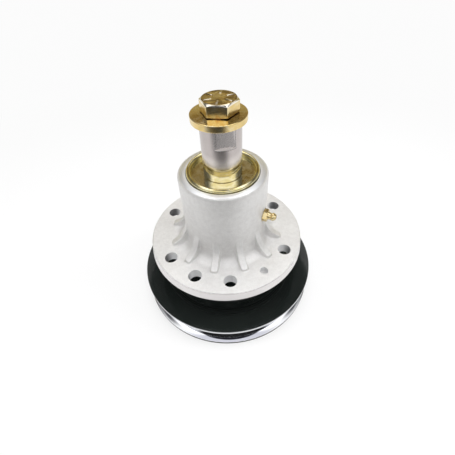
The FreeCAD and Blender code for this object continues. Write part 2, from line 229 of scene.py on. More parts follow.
def holeWall(turn, radius, look, hole):
    bore, first, pitch = hole
    steps = turn.maths("ROUND", (turn - math.radians(first)) / math.radians(pitch))
    aside = turn - math.radians(first) - steps * math.radians(pitch)  # from the nearest hole of the ring
    cosine = turn.maths("COSINE", aside)
    circle = look["boltCircle"]
    away = (radius * radius + circle * circle - cosine * radius * (2 * circle)) ** 0.5
    return between(away, bore - 0.15, bore + 0.1, 0.04)


def castAluminium(look):
    material, spot = startFinish("cast_aluminium")
    x, y, z = split(spot)
    radius = fromAxis(x, y)
    turn = spot.maths("ARCTAN2", y, x)
    drilled = None
    for hole in look["holes"]:
        wall = holeWall(turn, radius, look, hole)
        drilled = drilled | wall if drilled else wall
    drilled = drilled * (1 - rise(z, look["flangeTop"] - 0.12, look["flangeTop"] - 0.04))
    angle = math.radians(look["fittingAngle"])
    along = x * math.cos(angle) + y * math.sin(angle)
    aside = y * math.cos(angle) - x * math.sin(angle)
    fromFitting = (aside * aside + (z - look["spotHeight"]) ** 2.0) ** 0.5
    spotFace = between(along, look["spotFace"] - 0.05, look["spotFace"] + 0.05, 0.02)
    spotFace = spotFace * (1 - rise(fromFitting, look["spotRadius"], look["spotRadius"] + 0.1))
    topCut = rise(z, look["topFace"] - 0.12, look["topFace"] - 0.04)
    deckCut = 1 - rise(z, look["deckFace"] + 0.05, look["deckFace"] + 0.15)
    boreCut = 1 - rise(radius, look["boreRadius"], look["boreRadius"] + 0.1)
    leaned = radius + (z - look["deckFace"]) * look["flangeDraft"]
    edgeCut = rise(leaned, look["flangeRadius"] - 0.25, look["flangeRadius"] - 0.05)
    cut = topCut | deckCut | boreCut | spotFace | edgeCut
    scales = look["scales"]
    cloud = noise(spot, scales["cloud"], 3.0)
    patch = noise(spot, scales["patch"], 4.0, 0.6)
    grain = noise(spot, scales["grain"], 3.0, 0.65)
    pits = rise(noise(spot, scales["pits"], 2.0), 0.68, 0.76)
    lines = noise(join(radius * 3.0, z * 3.0, 0.0), 1.0, 3.0, 0.7)
    mottle = rise(cloud * 0.25 + patch * 0.4 + grain * 0.35, 0.32, 0.68)
    skin = tint(mottle, look["grey"], look["pale"])
    skin = tint(pits * 0.30, skin, look["stain"])
    outer = rise(radius, *look["holeShadeBand"])
    # painted light and shade in the bolt holes: the wall on the hub's side is pale, the outer wall dark
    bore = tint(outer, look["drilled"], look["holeShade"])
    colour = tint(drilled, tint(cut, skin, look["cut"]), bore)
    colour = tint(edgeCut, colour, look["turned"])
    skinRough = look["skinRough"] + patch * 0.14 + grain * 0.08
    cutRough = look["cutRough"] + lines * 0.18 + topCut * 0.12
    rough = skinRough * (1 - cut) + cutRough * cut
    rough = rough * (1 - drilled) + (look["boreRough"] + lines * 0.2) * drilled
    metalDrop = drilled * (look["holeMetalDrop"] - outer * look["holeShadeMetal"])
    relief = (grain * 0.6 + patch * 0.9 - pits * 0.6) * (1 - cut) + lines * cut * 0.35
    surface(spot, {
        "Base Color": colour,
        "Metallic": look["metal"] + topCut * look["topMetal"] - metalDrop,
        "Roughness": rough,
        "Normal": bump(relief, 0.10, 0.7, bump(crowned(radius, **look["crown"]), 1.0)),
    })
    return material


boltZinc = {
    "gold": (0.81, 0.61, 0.27),
    "olive": (0.65, 0.51, 0.22),
    "rose": (0.74, 0.49, 0.27),
    "green": (0.55, 0.57, 0.26),
    "straw": (0.84, 0.71, 0.42),
    "rough": 0.12,
    "wavesFrom": 185.7,
    "waveHeight": 110.0,
    "brown": (0.36, 0.25, 0.09),
    "blotchScale": 0.13,
    "blotchSpread": (3.0, 8.0),
    "blotchEdge": (0.50, 0.66),
    "wornAndHighlight": (0.95, 0.92, 0.84),
    "underHeadShade": (0.15, 0.085, 0.05),
    "seam": (176.95, 177.55),
    "chamferFrom": 184.2,
    "chamferRadius": 11.55,
    "marks": {"turn": 19.0, "halfWidth": 0.8, "from": 5.2, "to": 10.9, "above": 186.12},
}
shieldZinc = {
    "gold": (0.80, 0.70, 0.36),
    "olive": (0.73, 0.63, 0.30),
    "rose": (0.78, 0.64, 0.35),
    "green": (0.60, 0.74, 0.46),
    "straw": (0.88, 0.82, 0.54),
    "rough": 0.075,
}


# colours the bolt head: brown blotches on the top, pale marks and chamfer (partly a painted highlight), and
# painted shade under the head
def headWearAndPaintedLight(spot, colour, look):
    x, y, z = split(spot)
    radius = fromAxis(x, y)
    marks = look["marks"]
    pitch = math.radians(60.0)
    turn = spot.maths("ARCTAN2", y, x) - math.radians(marks["turn"])
    steps = turn.maths("ROUND", turn / pitch)
    aside = abs(radius * turn.maths("SINE", turn - steps * pitch))
    onMark = between(radius, marks["from"], marks["to"], 0.1)
    onMark = onMark * (1 - rise(aside, marks["halfWidth"] - 0.1, marks["halfWidth"]))
    onMark = onMark * rise(z, marks["above"], marks["above"] + 0.1)
    chamfer = rise(radius, look["chamferRadius"], look["chamferRadius"] + 0.3)
    chamfer = chamfer * rise(z, look["chamferFrom"], look["chamferFrom"] + 0.6)
    blotch = noise(spot, look["blotchScale"], 2.0, 0.5, 0.7)
    blotch = blotch + rise(radius, *look["blotchSpread"]) * 0.12
    blotch = rise(blotch, *look["blotchEdge"]) * rise(z, look["wavesFrom"], look["wavesFrom"] + 0.3)
    colour = tint(blotch * (1 - chamfer) * 0.85, colour, look["brown"])
    # the grade marks and the chamfer are painted pale: partly rubbed zinc, partly a painted highlight
    colour = tint(onMark * 0.6 | chamfer * 0.8, colour, look["wornAndHighlight"])
    # painted shade: a dark brown line under the head, where it meets the washer
    return tint(between(z, *look["seam"], 0.05), colour, look["underHeadShade"])  # the dark line under the head


def headWaves(spot, look):
    onTop = rise(split(spot)[2], look["wavesFrom"], look["wavesFrom"] + 0.3)
    return noise(spot, 0.16, 1.0, 0.5, 0.6) * onTop * look["waveHeight"]


def yellowZinc(name, look):
    material, spot = startFinish(name)
    sweep = noise(spot, 0.06, 2.0, 0.5, 0.8)
    cloud = noise(spot, 0.20, 3.0)
    film = noise(spot, 0.45, 3.0, 0.55, 1.2)
    grain = noise(spot, 3.0, 2.0)
    colour = ramp(sweep * 0.65 + cloud * 0.35, [
        (0.32, look["olive"]),
        (0.44, look["gold"]),
        (0.54, look["straw"]),
        (0.62, look["gold"]),
        (0.74, look["rose"]),
    ])
    colour = tint(rise(film, 0.60, 0.76) * 0.5, colour, look["green"])
    relief = grain * 0.5 + film
    if "marks" in look:
        colour = headWearAndPaintedLight(spot, colour, look)
        relief = relief + headWaves(spot, look)
    surface(spot, {
        "Base Color": colour,
        "Metallic": 1.0,
        "Roughness": look["rough"] * (1 + cloud + grain * 0.5),
        "Normal": bump(relief, 0.012, 0.5),
    })
    return material


shaftLook = {
    "steel": (0.59, 0.54, 0.525),
    "dull": (0.47, 0.43, 0.415),
    "paintedReflection": (0.77, 0.715, 0.68),
    "paintedReflectionBelow": (144.0, 152.0),
    "milled": (0.66, 0.62, 0.61),
    "lip": (0.90, 0.88, 0.87),
    "burrAndShade": (0.22, 0.20, 0.20),
    "seat": (0.86, 0.83, 0.78),
    "footTop": 129.3,
    "seatTop": 140.7,
    "flatsFrom": 156.0,
    "flatsTo": 12.8,
    "angle": -80.3,
    "groundRough": 0.17,
    "milledRough": 0.22,
    "ledgeRough": 0.55,
    "seatPolish": 0.55,
}


def groundSteel(look):
    material, spot = startFinish("ground_steel")
    x, y, z = split(spot)
    angle = math.radians(look["angle"])
    across = abs(x * math.cos(angle) + y * math.sin(angle))
    side = y * math.cos(angle) - x * math.sin(angle)
    flat = rise(z, look["flatsFrom"] - 0.05, look["flatsFrom"] - 0.02)
    flat = flat * between(across, look["flatsTo"] - 0.06, look["flatsTo"] + 0.06, 0.03)
    front = rise(across, look["flatsTo"] - 0.1, look["flatsTo"])
    ledge = front * between(z, look["flatsFrom"] - 0.12, look["flatsFrom"] + 0.05, 0.02)
    wheel = noise(join(x * 0.05, y * 0.05, z * 9.0), 1.0, 3.0, 0.7)
    cutter = noise(join(side * 0.5, z * 4.0, 0.0), 1.0, 3.0, 0.6, 0.4)
    cloud = noise(spot, 0.14, 3.0)
    rub = rise(noise(join(side * 1.2, z * 0.3, x * 0.1), 1.0, 4.0, 0.6), 0.56, 0.7)
    steel = tint(cloud * 0.6 + wheel * 0.3, look["dull"], look["steel"])
    # painted reflection: the lower shaft is paler and warmer, as if the yellow shield were shown in it
    steel = tint(1 - rise(z, *look["paintedReflectionBelow"]), steel, look["paintedReflection"])
    milled = tint(rub * 0.6, look["milled"], look["steel"])
    torn = noise(join(side * 0.5, z * 2.0, 0.0), 1.0, 2.0)
    # a burr below the flats' ledge, darkened further as painted shade under the ledge
    burrAndShade = front * between(z + torn * 0.5, look["flatsFrom"] - 0.35, look["flatsFrom"] + 0.05, 0.08)
    colour = tint(burrAndShade * 0.8, tint(flat, steel, milled), look["burrAndShade"])
    colour = tint(ledge, colour, look["lip"])
    # the ground seat is painted paler and warmer still: a polished seat, and partly a painted reflection of the
    # shield
    seat = 1 - rise(z, look["seatTop"] - 0.05, look["seatTop"] + 0.05)
    # painted shade at the shaft's foot, where it meets the shield, and a dark line at the seat's end
    seatEnd = between(z, look["seatTop"] - 0.1, look["seatTop"] + 0.1, 0.05)
    seatEnd = seatEnd | (1 - rise(z, look["footTop"] - 0.1, look["footTop"]))
    colour = tint(seatEnd * 0.7, tint(seat, colour, look["seat"]), look["burrAndShade"])
    groundRough = look["groundRough"] + wheel * 0.07 + cloud * 0.05
    milledRough = look["milledRough"] + cutter * 0.10 + rub * 0.1
    rough = groundRough * (1 - flat) + milledRough * flat
    rough = (rough * (1 - ledge) + look["ledgeRough"] * ledge) * (1 - seat * look["seatPolish"])
    relief = wheel * (1 - flat) * 0.25 + (cutter * 0.5 + rub * 0.4) * flat
    surface(spot, {
        "Base Color": colour,
        "Metallic": 1.0,
        "Roughness": rough,
        "Normal": bump(relief, 0.02, 0.5),
    })
    return material


pulleyLook = {
    "paint": (0.010, 0.013, 0.012),
    "dust": (0.036, 0.042, 0.038),
    "bare": (0.84, 0.85, 0.88),
    "scuffed": (0.55, 0.56, 0.59),
    "radius": 82.55,
    "rootRadius": 66.55,
    "drumRadius": 60.0,
    "cornerWidth": 3.0,
    "cornerHeight": (14.5, 20.0),
    "cornerRough": 0.5,
    "cornerShadeMetal": 0.9,
    "paintRough": 0.12,
    "bareRough": 0.03,
    "lipTop": 22.8,
    "lip": 2.6,
    "slope": 0.30573,
    "flare": {"first": 78.0, "last": 82.5, "bend": 0.058},
}


def blackPaint(look):
    material, spot = startFinish("black_paint")
    x, y, z = split(spot)
    radius = fromAxis(x, y)
    turn = spot.maths("ARCTAN2", y, x)
    run = (look["radius"] - radius) * look["slope"]
    lipTop = look["lipTop"]
    lipFoot = lipTop - look["lip"]
    lowWall = run + look["lip"]
    highWall = lipFoot - run
    wobble = (noise(join(turn * 9.0, z * 0.2, 0.0), 1.0, 3.0) - 0.5) * 0.8
    onWall = 1 - rise(abs(z - lowWall), 0.15, 0.3) * rise(abs(z - highWall), 0.15, 0.3)
    belted = onWall * rise(radius + wobble, look["rootRadius"] + 0.8, look["rootRadius"] + 1.6)
    chatter = noise(join(turn * 110.0, z * 1.2, 0.0), 1.0, 2.0, 0.6)
    lipBand = rise(radius, look["radius"] - 0.35, look["radius"] - 0.1)
    lipLine = lipBand * between(z + wobble * 0.3, lipFoot + 0.2, lipTop - 0.2, 0.15)
    bare = belted | lipLine
    rings = noise(join(radius * 2.2, z * 2.2, turn * 0.6), 1.0, 3.0, 0.7)
    cloud = noise(spot, 0.06, 3.0)
    peel = noise(spot, 0.7, 2.0)
    dust = rise(noise(spot, 0.4, 5.0, 0.65), 0.60, 0.80)
    paint = tint(dust * 0.25 + cloud * 0.15, look["paint"], look["dust"])
    steel = tint(rings * 0.35 + chatter * lipLine * 0.5, look["bare"], look["scuffed"])
    lowerHalf = 1 - rise(z, lipTop / 2 - 0.1, lipTop / 2 + 0.1)
    flare = crowned(radius, **look["flare"]) * lowerHalf
    corner = between(radius, look["drumRadius"], look["drumRadius"] + look["cornerWidth"], 0.6)
    corner = corner * between(z, *look["cornerHeight"], 0.8)  # dull where the drum meets the rim
    paintRough = look["paintRough"] + cloud * 0.08 + dust * 0.12 + corner * look["cornerRough"]
    rough = paintRough * (1 - bare) + (look["bareRough"] + rings * 0.05) * bare
    relief = peel * (1 - bare) * 0.4 + (rings * 0.06 + chatter * lipLine * 0.8) * bare
    surface(spot, {
        "Base Color": tint(bare, paint, steel),
        # painted shade: where the drum meets the rim, the black paint is made metallic so that it reflects almost
        # nothing
        "Metallic": bare | corner * look["cornerShadeMetal"],
        "Roughness": rough,
        "Normal": bump(relief, 0.03, 0.5, bump(flare, 1.0)),
    })
    return material


plainLook = {
    "plain_steel": ((0.52, 0.51, 0.50), (0.40, 0.39, 0.38), 0.3),
    "bearing_steel": ((0.66, 0.66, 0.67), (0.55, 0.55, 0.56), 0.16),
}


def plainSteel(name, look):
    light, dark, rough = look
    material, spot = startFinish(name)
    x, y, z = split(spot)
    radius = fromAxis(x, y)
    lines = noise(join(radius * 4.0, z * 4.0, 0.0), 1.0, 3.0, 0.7)
    cloud = noise(spot, 0.2, 3.0)
    surface(spot, {
        "Base Color": tint(cloud * 0.6 + lines * 0.4, dark, light),
        "Metallic": 1.0,
        "Roughness": rough + lines * 0.12 + cloud * 0.06,
        "Normal": bump(lines, 0.015, 0.4),
    })
    return material


softLook = {
    "seal_rubber": ((0.018, 0.018, 0.019), (0.035, 0.034, 0.033), 0.55),
    "cage_polymer": ((0.30, 0.27, 0.20), (0.38, 0.35, 0.27), 0.45),
}


def mouldedStuff(name, look):
    dark, light, rough = look
    material, spot = startFinish(name)
    cloud = noise(spot, 0.3, 3.0)
    grain = noise(spot, 3.0, 3.0)
    surface(spot, {
        "Base Color": tint(cloud * 0.7 + grain * 0.3, dark, light),
        "Roughness": rough + grain * 0.15,
        "Normal": bump(grain, 0.02, 0.5),
    })
    return material


finishes = {
    "cast_aluminium": castAluminium(castLook),
    "yellow_zinc": yellowZinc("yellow_zinc", boltZinc),
    "ground_steel": groundSteel(shaftLook),
    "black_paint": blackPaint(pulleyLook),
}
for name, look in plainLook.items():
    finishes[name] = plainSteel(name, look)
for name, look in softLook.items():
    finishes[name] = mouldedStuff(name, look)
print("finishes made:", len(finishes))


paleZinc = yellowZinc("shield_zinc", shieldZinc)
for part in frame["record"]["subparts"]:
    mesh = nodes[part["node"]].data
    finish = paleZinc if part["node"].endswith("shield") else finishes[part["material_slot"]]
    mesh.materials.clear()
    mesh.materials.append(finish)
print("nodes finished")


# Building with rings, in millimetres

def placeRing(verts, rule):
    for vert in verts:
        angle = math.atan2(vert.co.y, vert.co.x)
        radius, height = rule(angle)
        vert.co = Vector((radius * math.cos(angle), radius * math.sin(angle), height)) * mm


def ringStack(bm, segments, rules, capped=True):
    verts = bmesh.ops.create_circle(bm, cap_ends=capped, segments=segments, radius=1.0)["verts"]
    edges = list({edge for vert in verts for edge in vert.link_edges})
    placeRing(verts, rules[0])
    for rule in rules[1:]:
        grown = bmesh.ops.extrude_edge_only(bm, edges=edges)["geom"]
        verts = [item for item in grown if isinstance(item, bmesh.types.BMVert)]
        known = set(verts)
        edges = [item for item in grown if isinstance(item, bmesh.types.BMEdge)]
        edges = [edge for edge in edges if known.issuperset(edge.verts)]
        placeRing(verts, rule)


def circle(radius, height):
    return lambda angle: (radius, height)


def hexRadius(flats, corner):
    def radius(angle):
        offset = (angle + math.pi / 6) % (math.pi / 3) - math.pi / 6  # from the middle of the nearest side
        return min(flats / 2 / math.cos(offset), corner)
    return lambda angle: radius(angle + math.pi / 6)


def hexRing(outline, inset, height, flat=0.0, slope=0.0):
    def rule(angle):
        radius = outline(angle) - inset
        return radius, height + slope * max(0.0, radius - flat)  # the turned chamfer cuts the corners lower
    return rule


def addThread(bm, look, low, high):
    half = look["pitch"] / 2
    root, crest, land = look["root"] - 0.1, look["crest"], look["pitch"] / 16  # foot sunk in the core
    outline = [(root, -half * 0.9), (crest, -land), (crest, land), (root, half * 0.9)]
    verts = [bm.verts.new((r * mm, 0.0, (low + half + z) * mm)) for r, z in outline]
    start = bm.faces.new(verts)
    turns = (high - low) / look["pitch"] - 1
    steps = int(turns * look["steps"])
    bmesh.ops.spin(
        bm,
        geom=verts + list(start.edges) + [start],
        axis=(0, 0, 1),
        cent=(0, 0, 0),
        dvec=(0, 0, (high - low - look["pitch"]) * mm / steps),
        angle=turns * 2 * math.pi,
        steps=steps,
    )


def finishPiece(name, bm, node, slot, sharp=28.0, body="rotor"):
    bmesh.ops.remove_doubles(bm, verts=bm.verts, dist=1e-6)
    bmesh.ops.holes_fill(bm, edges=[edge for edge in bm.edges if edge.is_boundary])
    bmesh.ops.recalc_face_normals(bm, faces=bm.faces)
    mesh = bpy.data.meshes.new(name)
    bm.to_mesh(mesh)
    bm.free()
    mesh.shade_smooth()
    mesh.set_sharp_from_angle(angle=math.radians(sharp))
    mesh.materials.append(finishes[slot])
    piece = bpy.data.objects.new(name, mesh)
    bpy.context.scene.collection.objects.link(piece)
    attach(piece, body)
    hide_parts(node)
    print(name, "made with", len(mesh.polygons), "faces")
    return piece


# Blade bolt

bladeBolt = {
    "segments": 144,
    "flats": 23.8,
    "cornerRadius": 13.55,
    "head": 9.2,
    "washerFace": 0.6,
    "chamfer": 30.0,
    "flatShare": 0.97,
    "turn": -11.0,
    "shankRadius": 7.9375,
    "neckFlare": 0.3,
    "neckHeight": 0.4,
    "tipChamfer": 0.8,
    "threadLength": 32.0,
    "threadRunOut": 1.0,
    "thread": {"root": 6.75, "crest": 7.93, "pitch": 2.309, "steps": 36},
    "mark": {"length": 5.6, "width": 1.6, "height": 0.4, "end": 10.9, "soft": 0.38},
    "soft": 0.12,
}


def addGradeMarks(bm, look, top):
    for number in range(6):
        long, wide, high = look["length"], look["width"], 2 * look["height"]
        place = Matrix.Rotation(math.radians(30 + 60 * number), 4, "Z")
        place = place @ Matrix.Translation(Vector((look["end"] - long / 2, 0.0, top)) * mm)
        size = Matrix.Diagonal((long * mm, wide * mm, high * mm, 1.0))
        mark = bmesh.ops.create_cube(bm, size=1.0, matrix=place @ size)["verts"]
        edges = list({edge for vert in mark for edge in vert.link_edges})
        bmesh.ops.bevel(
            bm,
            geom=edges,
            offset=look["soft"] * mm,
            offset_type="OFFSET",
            affect="EDGES",
            segments=3,
            profile=0.5,
            material=-1,
        )


def makeBladeBolt(look):
    low, high = [corner[2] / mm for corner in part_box("blade_bolt")]
    top = high - look["mark"]["height"]
    seat = top - look["head"]
    under = seat + look["washerFace"]
    outline = hexRadius(look["flats"], look["cornerRadius"])
    flat = look["flats"] / 2 * look["flatShare"]
    slope = -math.tan(math.radians(look["chamfer"]))
    soft = look["soft"]
    faceRadius = look["flats"] / 2 - look["washerFace"]
    root = look["thread"]["root"]
    shank = look["shankRadius"]
    threadTop = low + look["threadLength"]
    bm = bmesh.new()
    ringStack(bm, look["segments"], [
        circle(root - look["tipChamfer"], low),
        circle(root, low + look["tipChamfer"]),
        circle(root, threadTop),
        circle(shank, threadTop + look["threadRunOut"]),
        circle(shank, seat - look["neckHeight"]),
        circle(shank + look["neckFlare"], seat),
        circle(faceRadius - soft, seat),
        circle(faceRadius, seat + soft),
        circle(faceRadius, under),
        hexRing(outline, soft, under),
        hexRing(outline, 0.0, under + soft),
        hexRing(outline, 0.0, top - 2 * soft, flat, slope),
        hexRing(outline, soft, top - soft, flat, slope),
        circle(flat + soft, top - soft / 2),
        circle(flat - soft, top),
        circle(flat - 3 * soft, top),
        circle(0.0, top),
    ])
    addThread(bm, look["thread"], low + look["tipChamfer"] / 2, threadTop)
    addGradeMarks(bm, look["mark"], top)
    bmesh.ops.rotate(bm, verts=bm.verts, matrix=Matrix.Rotation(math.radians(look["turn"]), 3, "Z"))
    finishPiece("hex_blade_bolt", bm, "blade_bolt", "yellow_zinc")


# Pulley nut

pulleyNut = {
    "segments": 144,
    "flats": 28.6,
    "cornerRadius": 16.3,
    "flatShare": 0.97,
    "chamfer": 30.0,
    "boreRadius": 9.54,
    "countersink": 0.9,
    "soft": 0.15,
}


def makePulleyNut(look):
    low, high = [corner[2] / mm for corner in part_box("pulley_nut")]
    outline = hexRadius(look["flats"], look["cornerRadius"])
    flat = look["flats"] / 2 * look["flatShare"]
    slope = math.tan(math.radians(look["chamfer"]))
    bore, sink, soft = look["boreRadius"], look["countersink"], look["soft"]
    rules = [
        circle(bore, low + sink),
        circle(bore + sink, low),
        circle(flat - soft, low),
        circle(flat + soft, low + soft / 2),
        hexRing(outline, soft, low + soft, flat, slope),
        hexRing(outline, 0.0, low + 2 * soft, flat, slope),
        hexRing(outline, 0.0, high - 2 * soft, flat, -slope),
        hexRing(outline, soft, high - soft, flat, -slope),
        circle(flat + soft, high - soft / 2),
        circle(flat - soft, high),
        circle(bore + sink, high),
        circle(bore, high - sink),
    ]
    bm = bmesh.new()
    ringStack(bm, look["segments"], rules + rules[:1], False)
    finishPiece("hex_pulley_nut", bm, "pulley_nut", "plain_steel")


# Shaft

spindleShaft = {
    "segments": 288,
    "sharp": 20.0,
    "radius": 15.0,
    "journalRadius": 12.5,
    "shoulder": 128.7,
    "journalStart": 22.8,
    "flats": 25.65,
    "flatsFrom": 156.0,
    "ledgeSteps": (0.4, 0.12, 0.03),
    "ledgeLip": 0.05,
    "turn": -80.3,
    "chamfer": 0.8,
    "shoulderChamfer": 0.45,
    "holeRadius": 7.99,
    "holeDepth": 46.24,
    "holeChamfer": 0.5,
    "drillPoint": 0.6,
    "keyWidth": 6.35,
    "keyDepth": 3.4,
    "keyFrom": 24.0,
    "keyTo": 41.0,
    "endChamfer": 1.2,
    "centreRadius": 2.4,
    "centreDepth": 3.8,
    "centreChamfer": 0.3,
    "threadRelief": 1.5,
    "threadLead": 1.2,
    "thread": {"root": 8.58, "crest": 9.52, "pitch": 1.5875, "steps": 48},
}


def carve(bm, cutter):
    pieces = []
    for source in (bm, cutter):
        mesh = bpy.data.meshes.new("carving")
        source.to_mesh(mesh)
        source.free()
        pieces.append(bpy.data.objects.new("carving", mesh))
        bpy.context.scene.collection.objects.link(pieces[-1])
    cut = pieces[0].modifiers.new("cut", "BOOLEAN")
    cut.operation = "DIFFERENCE"
    cut.solver = "EXACT"
    cut.object = pieces[1]
    carved = bmesh.new()
    carved.from_object(pieces[0], bpy.context.evaluated_depsgraph_get())
    for piece in pieces:
        bpy.data.meshes.remove(piece.data)
    return carved


def keywayCutter(look):
    long = look["keyTo"] - look["keyFrom"]
    floor = look["journalRadius"] - look["keyDepth"]
    place = Matrix.Translation(Vector((floor + long / 2, 0.0, look["keyFrom"] + long / 2)) * mm)
    size = Matrix.Diagonal((long * mm, look["keyWidth"] * mm, long * mm, 1.0))
    cutter = bmesh.new()
    bmesh.ops.create_cube(cutter, size=1.0, matrix=place @ size)
    return cutter


def flatted(look, inset, height):
    def rule(angle):
        edge = look["radius"] - inset
        return min(edge, look["flats"] / 2 / max(abs(math.cos(angle)), 0.01)), height
    return rule


def ledgeEdge(look, height):
    full = flatted(look, 0.0, height)

    def rule(angle):
        overFlat = full(angle)[0] < look["radius"]
        return look["radius"] - (look["ledgeLip"] if overFlat else 0.0), height
    return rule


def makeShaft(look):
    low, high = [corner[2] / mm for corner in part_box("spindle_shaft")]
    root, chamfer, edge = look["thread"]["root"], look["endChamfer"], look["chamfer"]
    journal, radius, hole = look["journalRadius"], look["radius"], look["holeRadius"]
    start, shoulder, ledge = look["journalStart"], look["shoulder"], look["flatsFrom"]
    below, under, lip = [ledge - step for step in look["ledgeSteps"]]
    bottom = high - look["holeDepth"]
    centre, bevel, mouth = look["centreRadius"], look["centreChamfer"], look["holeChamfer"]
    bm = bmesh.new()
    ringStack(bm, look["segments"], [
        circle(centre / 2, low + look["centreDepth"]),
        circle(centre, low + bevel),
        circle(centre + bevel, low),
        circle(root - chamfer, low),
        circle(root, low + chamfer),
        circle(root, start),
        circle(journal - edge, start),
        circle(journal, start + edge),
        circle(journal, shoulder),
        circle(radius - look["shoulderChamfer"], shoulder),
        circle(radius, shoulder + look["shoulderChamfer"]),
        circle(radius, below),
        circle(radius, under),
        ledgeEdge(look, lip),
        flatted(look, 0.0, ledge),
        flatted(look, 0.0, high - edge),
        flatted(look, edge, high),
        circle(hole + mouth, high),
        circle(hole, high - mouth),
        circle(hole, bottom + hole * look["drillPoint"]),
        circle(0.0, bottom),
    ])
    bmesh.ops.remove_doubles(bm, verts=bm.verts, dist=1e-6)
    bmesh.ops.recalc_face_normals(bm, faces=bm.faces)
    bm = carve(bm, keywayCutter(look))
    before = set(bm.verts)
    addThread(bm, look["thread"], low + chamfer / 3, start - look["threadRelief"])
    for vert in set(bm.verts) - before:
        reach = math.hypot(vert.co.x, vert.co.y)
        allowed = (root - chamfer) * mm + (vert.co.z - low * mm) * look["threadLead"]
        if reach > allowed:
            vert.co.xy *= allowed / reach  # the end chamfer turns the first thread down
    bmesh.ops.rotate(bm, verts=bm.verts, matrix=Matrix.Rotation(math.radians(look["turn"]), 3, "Z"))
    finishPiece("threaded_shaft", bm, "spindle_shaft", "ground_steel", look["sharp"])


# Grease valve spring (the real one shortens as the check ball is pushed in)

valveSpring = {"node": "grease_valve_spring", "joint": "grease_valve_slide", "body": "housing"}


def makeValveSpring(look):
    slide = next(joint for joint in frame["joints"] if joint["name"] == look["joint"])
    inward = Vector(slide["axis"]).normalized()
    bm = bmesh.new()
    bm.from_mesh(nodes[look["node"]].data)
    depths = [vert.co.dot(inward) for vert in bm.verts]
    spring = finishPiece("coil_valve_spring", bm, look["node"], "bearing_steel", body=look["body"])
    keep = 1 - slide["range_m"][1] / (max(depths) - min(depths))
    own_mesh(spring)


makeBladeBolt(bladeBolt)
makePulleyNut(pulleyNut)
makeShaft(spindleShaft)
makeValveSpring(valveSpring)


# Camera and studio

view = {
    "place": (-0.00431, -0.18999, 0.26539),
    "yaw": 0.0307,
    "pitch": 0.8119,
    "roll": -0.0473,
    "lens": 23.385,
    "sensor": 36.0,
    "clip": 0.01,
}


def setCamera(look):
    camera = bpy.data.objects.new("camera", bpy.data.cameras.new("camera"))
    bpy.context.scene.collection.objects.link(camera)
    camera.data.lens = look["lens"]
    camera.data.sensor_width = look["sensor"]
    camera.data.clip_start = look["clip"]
    turn = Matrix.Rotation(-look["yaw"], 4, "Z") @ Matrix.Rotation(math.pi / 2 - look["pitch"], 4, "X")
    turn = turn @ Matrix.Rotation(look["roll"], 4, "Z")
    camera.matrix_world = Matrix.Translation(look["place"]) @ turn
    bpy.context.scene.camera = camera


plainWhite = (1.0, 1.0, 1.0, 1.0)
studio = {
    "floorSize": 12.0,
    "floorColour": (0.86, 0.86, 0.86),
    "floorGlow": 0.63,
    "floorShade": 0.31,
    "floorFade": (0.16, 0.60),
    "farGlow": 0.97,
    "worldFill": 0.42,
    "aim": (0.0, 0.0, 0.07),
    "dome": {
        "radius": 5.0,
        "segments": 48,
        "roof": (1.9, 1.9, 1.9),
        "eaves": (0.10, 0.10, 0.11),
        "frontHigh": (0.80, 0.80, 0.86),
        "overhead": (0.02, 0.02, 0.025),
        "front": (1.25, 1.25, 1.24),
        "side": (0.18, 0.18, 0.18),
        "corner": (0.13, 0.13, 0.13),
        "back": (0.155, 0.102, 0.030),
        "lowBack": (0.43, 0.36, 0.17),
        "low": (0.11, 0.105, 0.10),
        "sideTurn": (-0.50, 0.30),
        "cornerTurn": (0.10, 0.45),
        "backTurn": (0.80, 0.97),
        "lowBackTurn": (0.0, 0.6),
        "frontTurn": (-0.75, -0.35),
        "liftTurn": (-0.6, 0.0),
        "lift": 0.14,
        "asideTurn": (0.93, 1.0),
        "eavesTurn": (-0.35, 0.0),
        "lowClimb": (0.40, 0.52),
        "eavesClimb": (0.58, 0.68),
        "roofBehind": (0.640, 0.670),
        "roofAside": (0.740, 0.900),
        "frontClimb": (0.69, 0.75),
        "overheadAim": (-0.2, 0.98),
        "overheadEdge": (0.955, 0.966),
    },
    "frontFlag": {
        "half": 1.6,
        "z": 0.0006,
        "near": 0.12,
        "far": 0.30,
        "x": (-0.38, 0.15),
        "soft": 0.09,
        "grey": 0.05,
        "dimsBounce": True,
    },
    "frontRings": {
        "half": 0.08,
        "z": 0.0005,
        "near": 0.05,
        "end": 0.12,
        "bands": ((0.0830, 0.0850), (0.0952, 0.1090)),
        "x": (-0.052, 0.054),
        "soft": 0.008,
        "grey": 0.02,
        "dimsBounce": False,
    },
    "lamps": {
        "topBox": {"place": (0.06, -0.06, 1.0), "size": 0.9, "power": 7.2},
        "leftBox": {"place": (-0.90, -0.05, 0.75), "size": 0.6, "power": 3.2},
        "rightBox": {"place": (0.90, -0.05, 0.75), "size": 0.6, "power": 4.0},
    },
}


def seenDirectly(start):
    path = start.node("LightPath")
    outputs = path.socket.node.outputs
    camera = Strand(start.tree, outputs["Is Camera Ray"])
    glossy = Strand(start.tree, outputs["Is Glossy Ray"])
    clear = Strand(start.tree, outputs["Is Transmission Ray"])
    return camera | glossy | clear


def setWorld(look):
    world = bpy.data.worlds.new("studio")
    bpy.context.scene.world = world
    world.use_nodes = True
    world.node_tree.nodes.clear()
    start = Strand(world.node_tree, None)
    seen = seenDirectly(start)
    strength = seen * (1 - look["worldFill"]) + look["worldFill"]
    white = start.node("Background", None, {"Color": plainWhite, "Strength": strength})
    start.node("OutputWorld", None, {"Surface": white})


def addStage(name, mesh, material, onlyGlossy=False):
    stage = bpy.data.objects.new(name, mesh)
    bpy.context.scene.collection.objects.link(stage)
    mesh.materials.append(material)
    if onlyGlossy:
        stage.visible_camera = False
        stage.visible_diffuse = False
        stage.visible_shadow = False
    return stage


def flatMesh(name, corners):
    bm = bmesh.new()
    bm.faces.new([bm.verts.new(corner) for corner in corners])
    mesh = bpy.data.meshes.new(name)
    bm.to_mesh(mesh)
    bm.free()
    return mesh


